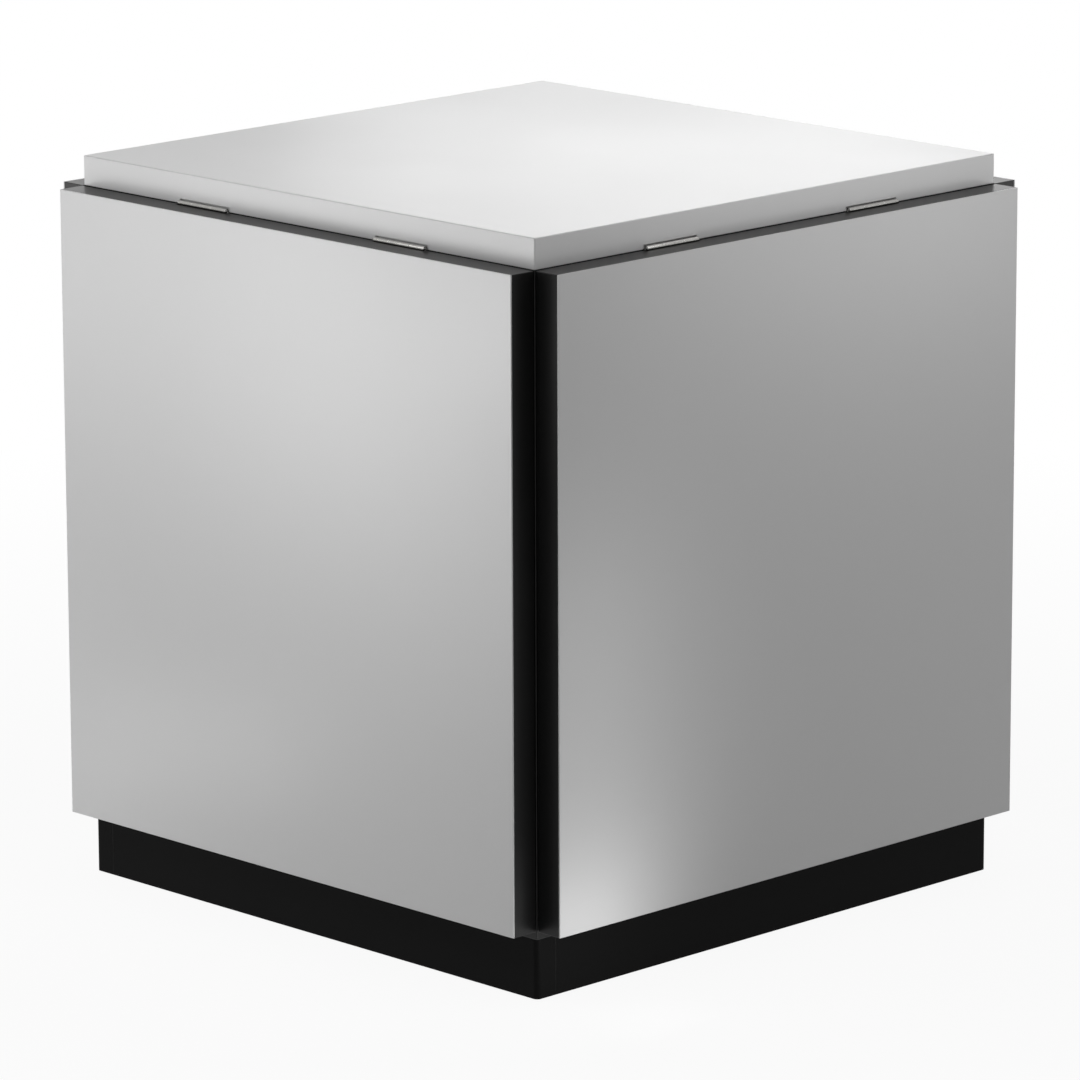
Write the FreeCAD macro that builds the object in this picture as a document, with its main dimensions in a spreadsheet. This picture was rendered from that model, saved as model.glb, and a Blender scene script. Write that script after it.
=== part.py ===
import FreeCAD, Part
import math
import os

import Sketcher

# A square end table. A fixed slab lies on a black carcass and plinth, and a leaf of the slab's own size hangs
# from each of its four lower edges. Each leaf swings up on two butt hinges until it is flush with the slab,
# and a folding stay, hidden behind the hanging leaf, holds it there.
#
# Frame: millimetres, +Z up, origin at the middle of the footprint on the floor. Every piece that repeats on
# the four sides is drawn for the front side, which faces -Y, and turned about Z to its own side.

SIDES = ("front", "right", "back", "left")

# ---------------------------------------------------------------- driving dimensions (mm and degrees)
SIZES = {
    # boards
    "board_width": 457.0,           # slab and leaves are equal squares, 18 inches
    "board_thickness": 21.3,        # slab, and leaf core with its face sheet
    "face_sheet": 1.0,              # pale sheet on the outer face of a leaf
    "slab_edge_radius": 0.8,
    "leaf_edge_chamfer": 0.5,       # on the black inner edges of a leaf
    # carcass
    "carcass_wall": 18.0,
    "cleat_width": 22.0,
    # plinth
    "plinth_height": 43.7,
    "plinth_wall": 18.0,
    "plinth_corner_radius": 3.5,
    "block_leg": 42.0,
    "glide_width": 20.0,
    "glide_height": 1.2,
    # leaves on the carcass
    "leaf_gap": 1.0,                # carcass face to inner face of a hanging leaf
    "leaf_top_gap": 0.5,            # underside of the slab to top edge of a hanging leaf
    "leaf_lift": 5.8,               # plinth to lower edge of a hanging leaf
    "bumper_width": 10.0,
    "bumper_inset": 27.0,           # from the lower corners of the leaf
    # butt hinges
    "hinge_spacing": 200.0,         # middle to middle, on one side
    "hinge_length": 49.5,
    "hinge_gauge": 0.8,             # plate thickness
    "knuckle_radius": 1.9,
    "knuckle_length": 20.1,         # middle knuckle
    "knuckle_gap": 0.3,
    "pin_rise": 0.6,                # hinge pin above the underside, and outside the leaf's inner face
    "hinge_pin_radius": 1.1,
    "pin_play": 0.05,
    "top_plate_reach": 14.0,
    "leaf_plate_reach": 18.0,
    "hinge_hole_spacing": 32.0,
    "leaf_hole_drop": 10.8,         # from the slab's underside to the holes of a leaf plate
    "notch_height_gap": 0.5,        # above the barrel
    "notch_end_gap": 1.0,           # beyond the barrel's ends
    "notch_depth": 2.2,
    "wall_hollow_gap": 0.2,         # round the barrel, where it reaches past the carcass wall's face
    "cradle_gap": 0.3,              # round the barrel, where the leaf's top edge is cut away for it
    # screws
    "hole_radius": 1.5,             # in leaf plates, brackets and flanges
    "slab_screw_radius": 2.0,
    "slab_screw_head_radius": 4.5,
    "slab_screw_head_height": 2.5,
    "slab_screw_length": 32.0,      # under the head
    "slab_screw_inset": 55.0,       # from the carcass walls
    "slab_screw_play": 0.1,
    "slab_screw_tip_gap": 1.0,
    # folding stay
    "arm_length": 110.0,            # also the distance from the hinge pin to the bracket pivot
    "arm_width": 15.0,
    "arm_thickness": 4.0,
    "arm_side_gap": 0.3,
    "bracket_angle": 27.0,          # pivot behind the hinge pin's plumb line, leaf hanging
    "bracket_ear": 3.0,
    "bracket_eye_radius": 9.0,
    "bracket_foot": 56.0,           # height of the ears where they meet the base
    "bracket_base": 2.5,
    "bracket_base_width": 34.0,
    "bracket_base_height": 88.0,
    "bracket_hole_rise": 36.0,      # from the pivot's height, up and down
    "slot_angle": 7.0,              # of the case's slot, which runs on a line through the hinge pin
    "slot_play": 0.3,
    "slot_catch": 2.0,              # step at the slot's upper end, where the pin settles
    "stay_pin_radius": 2.5,
    "case_gauge": 1.5,
    "case_inner_width": 14.0,
    "case_end_gap": 5.0,            # clear space past the arm's travel
    "case_eye_gap": 0.6,            # behind the bracket's eyes
    "case_pin_gap": 0.3,            # foot pin's ends to the case's outer faces
    "flange_width": 42.0,
    "flange_tab": 16.0,             # flange beyond the case, above and below
    "fit_gap": 0.3,                 # round a piece that is let into a board
}

os.makedirs("parts", exist_ok=True)
document = FreeCAD.newDocument("end_table")
sheet = document.addObject("Spreadsheet::Sheet", "Sizes")
for row, (alias, number) in enumerate(SIZES.items(), start=1):
    sheet.set(f"A{row}", alias.replace("_", " "))
    sheet.set(f"B{row}", str(number))
    sheet.setAlias(f"B{row}", alias)
document.recompute()


class Size:
    """A length or angle as a formula on the sheet. Sums and products of sizes are formulas too."""

    def __init__(self, text):
        self.text = text

    @staticmethod
    def of(number):
        return number if isinstance(number, Size) else Size(str(number))

    def join(self, sign, other):
        return Size(f"({self.text} {sign} {Size.of(other).text})")

    def __add__(self, other):
        return self.join("+", other)

    def __sub__(self, other):
        return self.join("-", other)

    def __mul__(self, other):
        return self.join("*", other)

    def __truediv__(self, other):
        return self.join("/", other)

    def __neg__(self):
        return Size(f"(0 - {self.text})")

    @property
    def value(self):
        return float(sheet.evalExpression(self.text))


def sine(angle):
    return Size(f"sin({angle.text})")


def cosine(angle):
    return Size(f"cos({angle.text})")


size = {alias: Size(f"Sizes.{alias}") for alias in SIZES}

# ---------------------------------------------------------------- planes and points that pieces share
EDGE_TOUCH = 0.01       # how near an edge lies to a plane to be picked with it
CUT_PAST = 1.0          # how far a cut runs past the face that it opens

side = size["board_width"] / 2
carcass_height = size["leaf_lift"] + size["board_width"] + size["leaf_top_gap"]
underside = size["plinth_height"] + carcass_height
carcass_inside = side - size["carcass_wall"]
plinth_inside = side - size["plinth_wall"]
leaf_inner = side + size["leaf_gap"]
leaf_core = size["board_thickness"] - size["face_sheet"]
leaf_bottom = size["plinth_height"] + size["leaf_lift"]
leaf_top = leaf_bottom + size["board_width"]

# The hinge plates lie under the slab and on the leaf's inner face. The pin is as far outside the leaf's inner
# face as it is above the slab's underside, so that the raised leaf is flush with the slab.
pin_out = leaf_inner + size["pin_rise"]
pin_height = underside + size["pin_rise"]
hinge_middle = size["hinge_spacing"] / 2
hinge_half = size["hinge_length"] / 2

# The stay is an isosceles pair: hinge pin to bracket pivot, and bracket pivot to foot pin, are one length.
# The foot pin then runs exactly on a straight line through the hinge pin while the arm turns back at the
# leaf's own rate, and the case's slot is cut along that line.
pivot_out = pin_out - size["arm_length"] * sine(size["bracket_angle"])
pivot_height = pin_height - size["arm_length"] * cosine(size["bracket_angle"])
slot_lead = size["bracket_angle"] - size["slot_angle"]


def on_slot(distance):
    """The point (out, up) on the slot's line, at a distance below the hinge pin."""
    return (pin_out - distance * sine(size["slot_angle"]),
            pin_height - distance * cosine(size["slot_angle"]))


foot_rest = on_slot(size["arm_length"] * cosine(slot_lead) * 2)
slot_low_end = on_slot(size["arm_length"] * 2)
slot_high_end = on_slot(size["arm_length"] * sine(slot_lead) * 2)
slot_radius = size["stay_pin_radius"] + size["slot_play"]
eye_hole = size["stay_pin_radius"] + size["pin_play"]

ears_gap = size["arm_thickness"] + size["arm_side_gap"] * 2
ears_width = ears_gap + size["bracket_ear"] * 2
case_width = size["case_inner_width"] + size["case_gauge"] * 2
case_back = pivot_out - size["bracket_eye_radius"] - size["case_eye_gap"] - size["case_gauge"]
case_top = slot_high_end[1] + size["arm_width"] / 2 + size["case_end_gap"] + size["case_gauge"]
case_bottom = slot_low_end[1] - size["arm_width"] / 2 - size["case_end_gap"] - size["case_gauge"]
flange_top = case_top + size["flange_tab"]
flange_bottom = case_bottom - size["flange_tab"]


# ---------------------------------------------------------------- sketches
def origin_part(body, role):
    """A plane or an axis of the body's own origin."""
    return next(item for item in body.Origin.OriginFeatures if item.Role == role)


def sketch_on(body, name, role, height=None, across=None, up=None):
    """A new sketch on an origin plane, moved along its normal by height, and in the plane by across, up."""
    sketch = body.newObject("Sketcher::SketchObject", name)
    sketch.AttachmentSupport = (origin_part(body, role), [""])
    sketch.MapMode = "FlatFace"
    for letter, shift in (("x", across), ("y", up), ("z", height)):
        if shift is not None:
            sketch.setExpression(f"AttachmentOffset.Base.{letter}", shift.text)
    return sketch


def spot(x, y):
    return FreeCAD.Vector(Size.of(x).value, Size.of(y).value, 0)


def tie(sketch, kind, references, wanted):
    """Add a constraint whose value follows a size."""
    index = sketch.addConstraint(Sketcher.Constraint(kind, *references, Size.of(wanted).value))
    sketch.setExpression(f"Constraints[{index}]", Size.of(wanted).text)


def hold(sketch, element, point, x, y):
    """Hold one point of the sketch at (x, y) from the sketch's origin."""
    tie(sketch, "DistanceX", (-1, 1, element, point), x)
    tie(sketch, "DistanceY", (-1, 1, element, point), y)


def polygon(sketch, corners):
    spots = [spot(x, y) for x, y in corners]
    lines = [sketch.addGeometry(Part.LineSegment(start, end), False)
             for start, end in zip(spots, spots[1:] + spots[:1])]
    for line, before, (x, y) in zip(lines, lines[-1:] + lines[:-1], corners):
        sketch.addConstraint(Sketcher.Constraint("Coincident", before, 2, line, 1))
        hold(sketch, line, 1, x, y)


def rectangle(sketch, left, right, low, high):
    polygon(sketch, [(left, low), (right, low), (right, high), (left, high)])


def circle(sketch, x, y, radius):
    ring = sketch.addGeometry(Part.Circle(spot(x, y), FreeCAD.Vector(0, 0, 1), radius.value), False)
    hold(sketch, ring, 3, x, y)
    tie(sketch, "Radius", (ring,), radius)


def slot(sketch, start, end, radius):
    """A round-ended bar or slot between two centres."""
    first, last = spot(*start), spot(*end)
    along = (last - first).normalize()
    turn = math.atan2(along.y, along.x)
    quarter = math.pi / 2
    reach = FreeCAD.Vector(along.y, -along.x, 0) * radius.value
    upright = FreeCAD.Vector(0, 0, 1)
    ends = [Part.ArcOfCircle(Part.Circle(centre, upright, radius.value), turn + begin, turn + begin + math.pi)
            for centre, begin in ((last, -quarter), (first, quarter))]
    shapes = [Part.LineSegment(first + reach, last + reach), ends[0],
              Part.LineSegment(last - reach, first - reach), ends[1]]
    line_a, arc_a, line_b, arc_b = [sketch.addGeometry(shape, False) for shape in shapes]
    for before, after in ((line_a, arc_a), (arc_a, line_b), (line_b, arc_b), (arc_b, line_a)):
        sketch.addConstraint(Sketcher.Constraint("Tangent", before, 2, after, 1))
    sketch.addConstraint(Sketcher.Constraint("Equal", arc_a, arc_b))
    tie(sketch, "Radius", (arc_a,), radius)
    hold(sketch, arc_a, 3, *end)
    hold(sketch, arc_b, 3, *start)


# ---------------------------------------------------------------- features
def pad(body, sketch, length, both_ways=False):
    """Raise the sketch along its normal, or half each way."""
    feature = body.newObject("PartDesign::Pad", f"{sketch.Name}_pad")
    feature.Profile = sketch
    feature.SideType = "Symmetric" if both_ways else "One side"
    feature.setExpression("Length", Size.of(length).text)
    return feature


def cut(body, sketch, depth, both_ways=False, forward=False):
    """Cut the sketch against its normal, half each way, or forward along it."""
    feature = body.newObject("PartDesign::Pocket", f"{sketch.Name}_cut")
    feature.Profile = sketch
    feature.SideType = "Symmetric" if both_ways else "One side"
    feature.Reversed = forward
    feature.setExpression("Length", Size.of(depth).text)
    return feature


def turned(body, sketch):
    """Turn the sketch about its own vertical axis."""
    feature = body.newObject("PartDesign::Revolution", f"{sketch.Name}_turned")
    feature.Profile = sketch
    feature.ReferenceAxis = (sketch, ["V_Axis"])
    feature.Angle = 360


def mirror_across(body):
    """A second copy, mirrored to the other half of the front side."""
    document.recompute()
    feature = body.newObject("PartDesign::Mirrored", f"{body.Label}_mirrored")
    feature.TransformMode = "Whole shape"
    feature.MirrorPlane = (origin_part(body, "YZ_Plane"), [""])
    body.Tip = feature


def repeat_round(body, originals=None):
    """Four copies about Z, one to a side, of the whole body or of the given features."""
    feature = body.newObject("PartDesign::PolarPattern", f"{body.Label}_round")
    if originals:
        feature.TransformMode = "Features"
        feature.Originals = originals
    else:
        feature.TransformMode = "Whole shape"
    feature.Axis = (origin_part(body, "Z_Axis"), [""])
    feature.Angle = 360
    feature.Occurrences = len(SIDES)
    body.Tip = feature


def picked_edges(feature, wanted):
    """The names of the edges that the test picks by their middle point and direction."""
    document.recompute()
    names = []
    for number, edge in enumerate(feature.Shape.Edges, start=1):
        middle = edge.valueAt((edge.FirstParameter + edge.LastParameter) / 2)
        if wanted(middle, edge.tangentAt(edge.FirstParameter)):
            names.append(f"Edge{number}")
    return names


def round_edges(body, feature, radius, wanted):
    fillet = body.newObject("PartDesign::Fillet", f"{feature.Name}_rounded")
    fillet.Base = (feature, picked_edges(feature, wanted))
    fillet.setExpression("Radius", radius.text)


def bevel_edges(body, feature, width, wanted):
    chamfer = body.newObject("PartDesign::Chamfer", f"{feature.Name}_bevelled")
    chamfer.Base = (feature, picked_edges(feature, wanted))
    chamfer.setExpression("Size", width.text)


def is_upright(direction):
    return abs(direction.z) > 0.99


bodies = []


def new_body(label, turn=0):
    """A piece of its own. One that is drawn for the front side is turned to its side by quarter turns."""
    body = document.addObject("PartDesign::Body", label)
    body.Label = label
    body.Placement = FreeCAD.Placement(FreeCAD.Vector(), FreeCAD.Rotation(FreeCAD.Vector(0, 0, 1), 90 * turn))
    bodies.append(body)
    return body


# ---------------------------------------------------------------- top slab
slab_screw_place = carcass_inside - size["slab_screw_inset"]


def make_top_slab():
    body = new_body("top_slab")
    outline = sketch_on(body, "slab_outline", "XY_Plane", underside)
    rectangle(outline, -side, side, -side, side)
    board = pad(body, outline, size["board_thickness"])
    table_top = (underside + size["board_thickness"]).value
    round_edges(body, board, size["slab_edge_radius"],
                lambda middle, direction: is_upright(direction) or middle.z > table_top - EDGE_TOUCH)

    # a notch for each hinge barrel in the lower front edge
    notches = sketch_on(body, "slab_notches", "XZ_Plane", side + CUT_PAST)
    half = hinge_half + size["notch_end_gap"]
    notch_top = pin_height + size["knuckle_radius"] + size["notch_height_gap"]
    for middle in (-hinge_middle, hinge_middle):
        rectangle(notches, middle - half, middle + half, underside - CUT_PAST, notch_top)
    notch_cut = cut(body, notches, size["notch_depth"] + CUT_PAST)

    # a pilot hole for each screw that holds the slab down
    pilot = sketch_on(body, "slab_pilot", "XY_Plane", underside)
    circle(pilot, slab_screw_place, -slab_screw_place, size["slab_screw_radius"] + size["slab_screw_play"])
    pilot_depth = size["slab_screw_length"] - size["carcass_wall"] + size["slab_screw_tip_gap"]
    repeat_round(body, [notch_cut, cut(body, pilot, pilot_depth, forward=True)])


# ---------------------------------------------------------------- carcass
def make_carcass_wall(name, turn):
    """A mitred wall, with its top edge let in for the hinge plates, and an opening for the stay's case."""
    body = new_body(f"carcass_{name}", turn)
    outline = sketch_on(body, f"wall_{name}_outline", "XY_Plane", size["plinth_height"])
    polygon(outline, [(-side, -side), (side, -side), (carcass_inside, -carcass_inside),
                      (-carcass_inside, -carcass_inside)])
    pad(body, outline, carcass_height)

    # room for the inner side of each hinge barrel in the wall's top edge
    gap = size["fit_gap"]
    for end, middle in (("left", -hinge_middle), ("right", hinge_middle)):
        hollow = sketch_on(body, f"wall_{name}_{end}_hollow", "YZ_Plane", middle)
        circle(hollow, -pin_out, pin_height, size["knuckle_radius"] + size["wall_hollow_gap"])
        cut(body, hollow, size["hinge_length"] + gap * 2, both_ways=True)

    mortises = sketch_on(body, f"wall_{name}_mortises", "XY_Plane", underside)
    for middle in (-hinge_middle, hinge_middle):
        rectangle(mortises, middle - hinge_half - gap, middle + hinge_half + gap,
                  -side - CUT_PAST, -side + size["top_plate_reach"] + gap)
    cut(body, mortises, size["hinge_gauge"])

    opening = sketch_on(body, f"wall_{name}_opening", "XZ_Plane", side)
    rectangle(opening, -case_width / 2 - gap, case_width / 2 + gap, case_bottom - gap, case_top + gap)
    cut(body, opening, size["carcass_wall"])
    recess = sketch_on(body, f"wall_{name}_recess", "XZ_Plane", side)
    rectangle(recess, -size["flange_width"] / 2 - gap, size["flange_width"] / 2 + gap,
              flange_bottom - gap, flange_top + gap)
    cut(body, recess, size["case_gauge"])


def make_carcass_top():
    body = new_body("carcass_top")
    outline = sketch_on(body, "carcass_top_outline", "XY_Plane", underside - size["carcass_wall"])
    rectangle(outline, -carcass_inside, carcass_inside, -carcass_inside, carcass_inside)
    pad(body, outline, size["carcass_wall"])
    holes = sketch_on(body, "carcass_top_holes", "XY_Plane", underside)
    for x in (-slab_screw_place, slab_screw_place):
        for y in (-slab_screw_place, slab_screw_place):
            circle(holes, x, y, size["slab_screw_radius"] + size["slab_screw_play"])
    cut(body, holes, size["carcass_wall"])


def make_slab_screws():
    """Four flat-headed screws that point up through the carcass top into the slab."""
    body = new_body("slab_screws")
    under_head = underside - size["carcass_wall"]
    profile = sketch_on(body, "slab_screw", "XZ_Plane", height=slab_screw_place, across=slab_screw_place,
                        up=under_head)
    radius, head_radius = size["slab_screw_radius"], size["slab_screw_head_radius"]
    head, tip = -size["slab_screw_head_height"], size["slab_screw_length"]
    polygon(profile, [(0, head), (head_radius, head), (head_radius, 0), (radius, 0), (radius, tip), (0, tip)])
    turned(body, profile)
    repeat_round(body)


def make_carcass_bottom():
    body = new_body("carcass_bottom")
    outline = sketch_on(body, "carcass_bottom_outline", "XY_Plane", size["plinth_height"])
    rectangle(outline, -carcass_inside, carcass_inside, -carcass_inside, carcass_inside)
    pad(body, outline, size["carcass_wall"])


def make_corner_cleats():
    """Square strips that stand in the corners between the carcass bottom and top."""
    body = new_body("corner_cleats")
    outline = sketch_on(body, "cleat_outline", "XY_Plane", size["plinth_height"] + size["carcass_wall"])
    rectangle(outline, carcass_inside - size["cleat_width"], carcass_inside,
              -carcass_inside, -carcass_inside + size["cleat_width"])
    pad(body, outline, carcass_height - size["carcass_wall"] * 2)
    repeat_round(body)


# ---------------------------------------------------------------- plinth
def make_plinth_rail(name, turn):
    """One rail of four that chase each other round: past the rail on its right, up to the one on its left."""
    body = new_body(f"plinth_{name}", turn)
    outline = sketch_on(body, f"rail_{name}_outline", "XY_Plane", size["glide_height"])
    rectangle(outline, -plinth_inside, side, -side, -plinth_inside)
    rail = pad(body, outline, size["plinth_height"] - size["glide_height"])
    corner = side.value
    round_edges(body, rail, size["plinth_corner_radius"],
                lambda middle, direction: is_upright(direction) and abs(middle.x - corner) < EDGE_TOUCH
                and abs(middle.y + corner) < EDGE_TOUCH)


def make_corner_blocks():
    """Three-cornered blocks, glued in where the rails meet, which the glides are stuck to."""
    body = new_body("plinth_corner_blocks")
    outline = sketch_on(body, "block_outline", "XY_Plane", size["glide_height"])
    polygon(outline, [(plinth_inside, -plinth_inside), (plinth_inside, -plinth_inside + size["block_leg"]),
                      (plinth_inside - size["block_leg"], -plinth_inside)])
    pad(body, outline, size["plinth_height"] - size["glide_height"])
    repeat_round(body)


def make_glides():
    """A square felt pad under each block, which the table stands on."""
    body = new_body("glides")
    felt = sketch_on(body, "glide_felt", "XY_Plane")
    far = plinth_inside - size["fit_gap"]
    near = far - size["glide_width"]
    rectangle(felt, near, far, -far, -near)
    pad(body, felt, size["glide_height"])
    repeat_round(body)


# ---------------------------------------------------------------- leaves
def make_leaf_bumpers():
    """Square pads on the carcass, which the lower corners of the leaves rest against."""
    body = new_body("leaf_bumpers")
    pads = sketch_on(body, "bumper_pads", "XZ_Plane", side)
    low = leaf_bottom + size["bumper_inset"]
    far = side - size["bumper_inset"]
    near = far - size["bumper_width"]
    for left, right in ((-far, -near), (near, far)):
        rectangle(pads, left, right, low, low + size["bumper_width"])
    pad(body, pads, size["leaf_gap"])
    repeat_round(body)


def make_leaf_panel(name, turn):
    body = new_body(f"{name}_leaf_panel", turn)
    outline = sketch_on(body, f"{name}_leaf_outline", "XZ_Plane", leaf_inner)
    rectangle(outline, -side, side, leaf_bottom, leaf_top)
    core = pad(body, outline, leaf_core)
    inner = -leaf_inner.value
    bevel_edges(body, core, size["leaf_edge_chamfer"],
                lambda middle, direction: middle.y > inner - EDGE_TOUCH)
    gap = size["fit_gap"]
    half_width, half_height = size["bracket_base_width"] / 2 + gap, size["bracket_base_height"] / 2 + gap
    recess = sketch_on(body, f"{name}_leaf_recess", "XZ_Plane", leaf_inner)
    rectangle(recess, -half_width, half_width, pivot_height - half_height, pivot_height + half_height)
    cut(body, recess, size["bracket_base"], forward=True)

    # a shallow cradle in the top edge for the lower part of each hinge barrel
    cradles = sketch_on(body, f"{name}_leaf_cradles", "XZ_Plane", leaf_inner)
    half = hinge_half + size["notch_end_gap"]
    cradle_floor = pin_height - size["knuckle_radius"] - size["cradle_gap"]
    for middle in (-hinge_middle, hinge_middle):
        rectangle(cradles, middle - half, middle + half, cradle_floor, leaf_top + CUT_PAST)
    cut(body, cradles, size["pin_rise"] + size["knuckle_radius"] + size["cradle_gap"], forward=True)


def make_leaf_face(name, turn):
    body = new_body(f"{name}_leaf_face", turn)
    outline = sketch_on(body, f"{name}_face_outline", "XZ_Plane", leaf_inner + leaf_core)
    rectangle(outline, -side, side, leaf_bottom, leaf_top)
    pad(body, outline, size["face_sheet"])


# ---------------------------------------------------------------- hinges
def add_barrel(body, name):
    """The hinge's whole barrel, bored for the pin."""
    ring = sketch_on(body, f"{name}_barrel", "YZ_Plane", hinge_middle)
    circle(ring, -pin_out, pin_height, size["knuckle_radius"])
    pad(body, ring, size["hinge_length"], both_ways=True)
    bore = sketch_on(body, f"{name}_bore", "YZ_Plane", hinge_middle)
    circle(bore, -pin_out, pin_height, size["hinge_pin_radius"] + size["pin_play"])
    cut(body, bore, size["hinge_length"], both_ways=True)


def make_hinge_top_plates(name, turn):
    """The fixed plates under the slab, with the two outer knuckles."""
    label = f"{name}_hinge_top_plates"
    body = new_body(label, turn)
    outline = sketch_on(body, f"{label}_outline", "XY_Plane", underside - size["hinge_gauge"])
    rectangle(outline, hinge_middle - hinge_half, hinge_middle + hinge_half,
              -pin_out, -side + size["top_plate_reach"])
    pad(body, outline, size["hinge_gauge"])
    add_barrel(body, label)

    # room between them for the leaf plate's knuckle
    room_half = size["knuckle_length"] / 2 + size["knuckle_gap"]
    room = sketch_on(body, f"{label}_room", "XY_Plane", pin_height)
    room_back = -pin_out + size["knuckle_radius"] + size["knuckle_gap"]
    rectangle(room, hinge_middle - room_half, hinge_middle + room_half,
              -pin_out - size["knuckle_radius"] - CUT_PAST, room_back)
    cut(body, room, (size["knuckle_radius"] + CUT_PAST) * 2, both_ways=True)
    mirror_across(body)


def make_hinge_leaf_plates(name, turn):
    """The plates on the leaf's inner face, with the middle knuckle."""
    label = f"{name}_hinge_leaf_plates"
    body = new_body(label, turn)
    outline = sketch_on(body, f"{label}_outline", "XZ_Plane", leaf_inner - size["hinge_gauge"])
    rectangle(outline, hinge_middle - hinge_half, hinge_middle + hinge_half,
              underside - size["leaf_plate_reach"], pin_height)
    pad(body, outline, size["hinge_gauge"])
    add_barrel(body, label)

    # room on either side for the top plate's knuckles
    knuckle_half = size["knuckle_length"] / 2
    past = hinge_half + CUT_PAST
    room = sketch_on(body, f"{label}_room", "XZ_Plane", pin_out)
    for left, right in ((-past, -knuckle_half), (knuckle_half, past)):
        rectangle(room, hinge_middle + left, hinge_middle + right,
                  pin_height - size["knuckle_radius"] - size["knuckle_gap"],
                  pin_height + size["knuckle_radius"] + CUT_PAST)
    cut(body, room, (size["knuckle_radius"] + CUT_PAST) * 2, both_ways=True)
    holes = sketch_on(body, f"{label}_holes", "XZ_Plane", leaf_inner)
    for place in (-size["hinge_hole_spacing"] / 2, size["hinge_hole_spacing"] / 2):
        circle(holes, hinge_middle + place, underside - size["leaf_hole_drop"], size["hole_radius"])
    cut(body, holes, size["hinge_gauge"])
    mirror_across(body)


def make_hinge_pins(name, turn):
    label = f"{name}_hinge_pins"
    body = new_body(label, turn)
    ring = sketch_on(body, f"{label}_section", "YZ_Plane", hinge_middle)
    circle(ring, -pin_out, pin_height, size["hinge_pin_radius"])
    pad(body, ring, size["hinge_length"], both_ways=True)
    mirror_across(body)


# ---------------------------------------------------------------- folding stays
def make_stay_bracket(name, turn):
    """A base plate let into the leaf, with two ears that carry the arm's pivot."""
    label = f"{name}_stay_bracket"
    body = new_body(label, turn)
    base = sketch_on(body, f"{label}_base", "XZ_Plane", leaf_inner)
    half_width, half_height = size["bracket_base_width"] / 2, size["bracket_base_height"] / 2
    rectangle(base, -half_width, half_width, pivot_height - half_height, pivot_height + half_height)
    pad(body, base, size["bracket_base"])
    ears = sketch_on(body, f"{label}_ears", "YZ_Plane")
    eye = size["bracket_eye_radius"]
    foot_half = size["bracket_foot"] / 2
    in_base = -leaf_inner - size["bracket_base"] / 2
    polygon(ears, [(in_base, pivot_height - foot_half), (-pivot_out, pivot_height - eye),
                   (-pivot_out, pivot_height + eye), (in_base, pivot_height + foot_half)])
    pad(body, ears, ears_width, both_ways=True)
    eyes = sketch_on(body, f"{label}_eyes", "YZ_Plane")
    circle(eyes, -pivot_out, pivot_height, eye)
    pad(body, eyes, ears_width, both_ways=True)
    between = sketch_on(body, f"{label}_between_ears", "YZ_Plane")
    rectangle(between, -leaf_inner, -pivot_out + eye + CUT_PAST,
              pivot_height - foot_half, pivot_height + foot_half)
    cut(body, between, ears_gap, both_ways=True)
    bore = sketch_on(body, f"{label}_bore", "YZ_Plane")
    circle(bore, -pivot_out, pivot_height, eye_hole)
    cut(body, bore, ears_width, both_ways=True)
    holes = sketch_on(body, f"{label}_holes", "XZ_Plane", leaf_inner)
    for rise in (-size["bracket_hole_rise"], size["bracket_hole_rise"]):
        circle(holes, 0, pivot_height + rise, size["hole_radius"])
    cut(body, holes, size["bracket_base"], forward=True)


def make_stay_arm(name, turn):
    label = f"{name}_stay_arm"
    body = new_body(label, turn)
    bar = sketch_on(body, f"{label}_outline", "YZ_Plane")
    pivot = (-pivot_out, pivot_height)
    foot = (-foot_rest[0], foot_rest[1])
    slot(bar, pivot, foot, size["arm_width"] / 2)
    pad(body, bar, size["arm_thickness"], both_ways=True)
    eyes = sketch_on(body, f"{label}_eyes", "YZ_Plane")
    for centre in (pivot, foot):
        circle(eyes, *centre, eye_hole)
    cut(body, eyes, size["arm_thickness"], both_ways=True)


def make_stay_pins(name, turn):
    """The pivot through the bracket's ears, and the foot pin that runs in the case's slots."""
    label = f"{name}_stay_pins"
    body = new_body(label, turn)
    pivot = sketch_on(body, f"{label}_pivot", "YZ_Plane")
    circle(pivot, -pivot_out, pivot_height, size["stay_pin_radius"])
    pad(body, pivot, ears_width, both_ways=True)
    foot = sketch_on(body, f"{label}_foot", "YZ_Plane")
    circle(foot, -foot_rest[0], foot_rest[1], size["stay_pin_radius"])
    pad(body, foot, case_width - size["case_pin_gap"] * 2, both_ways=True)


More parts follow.
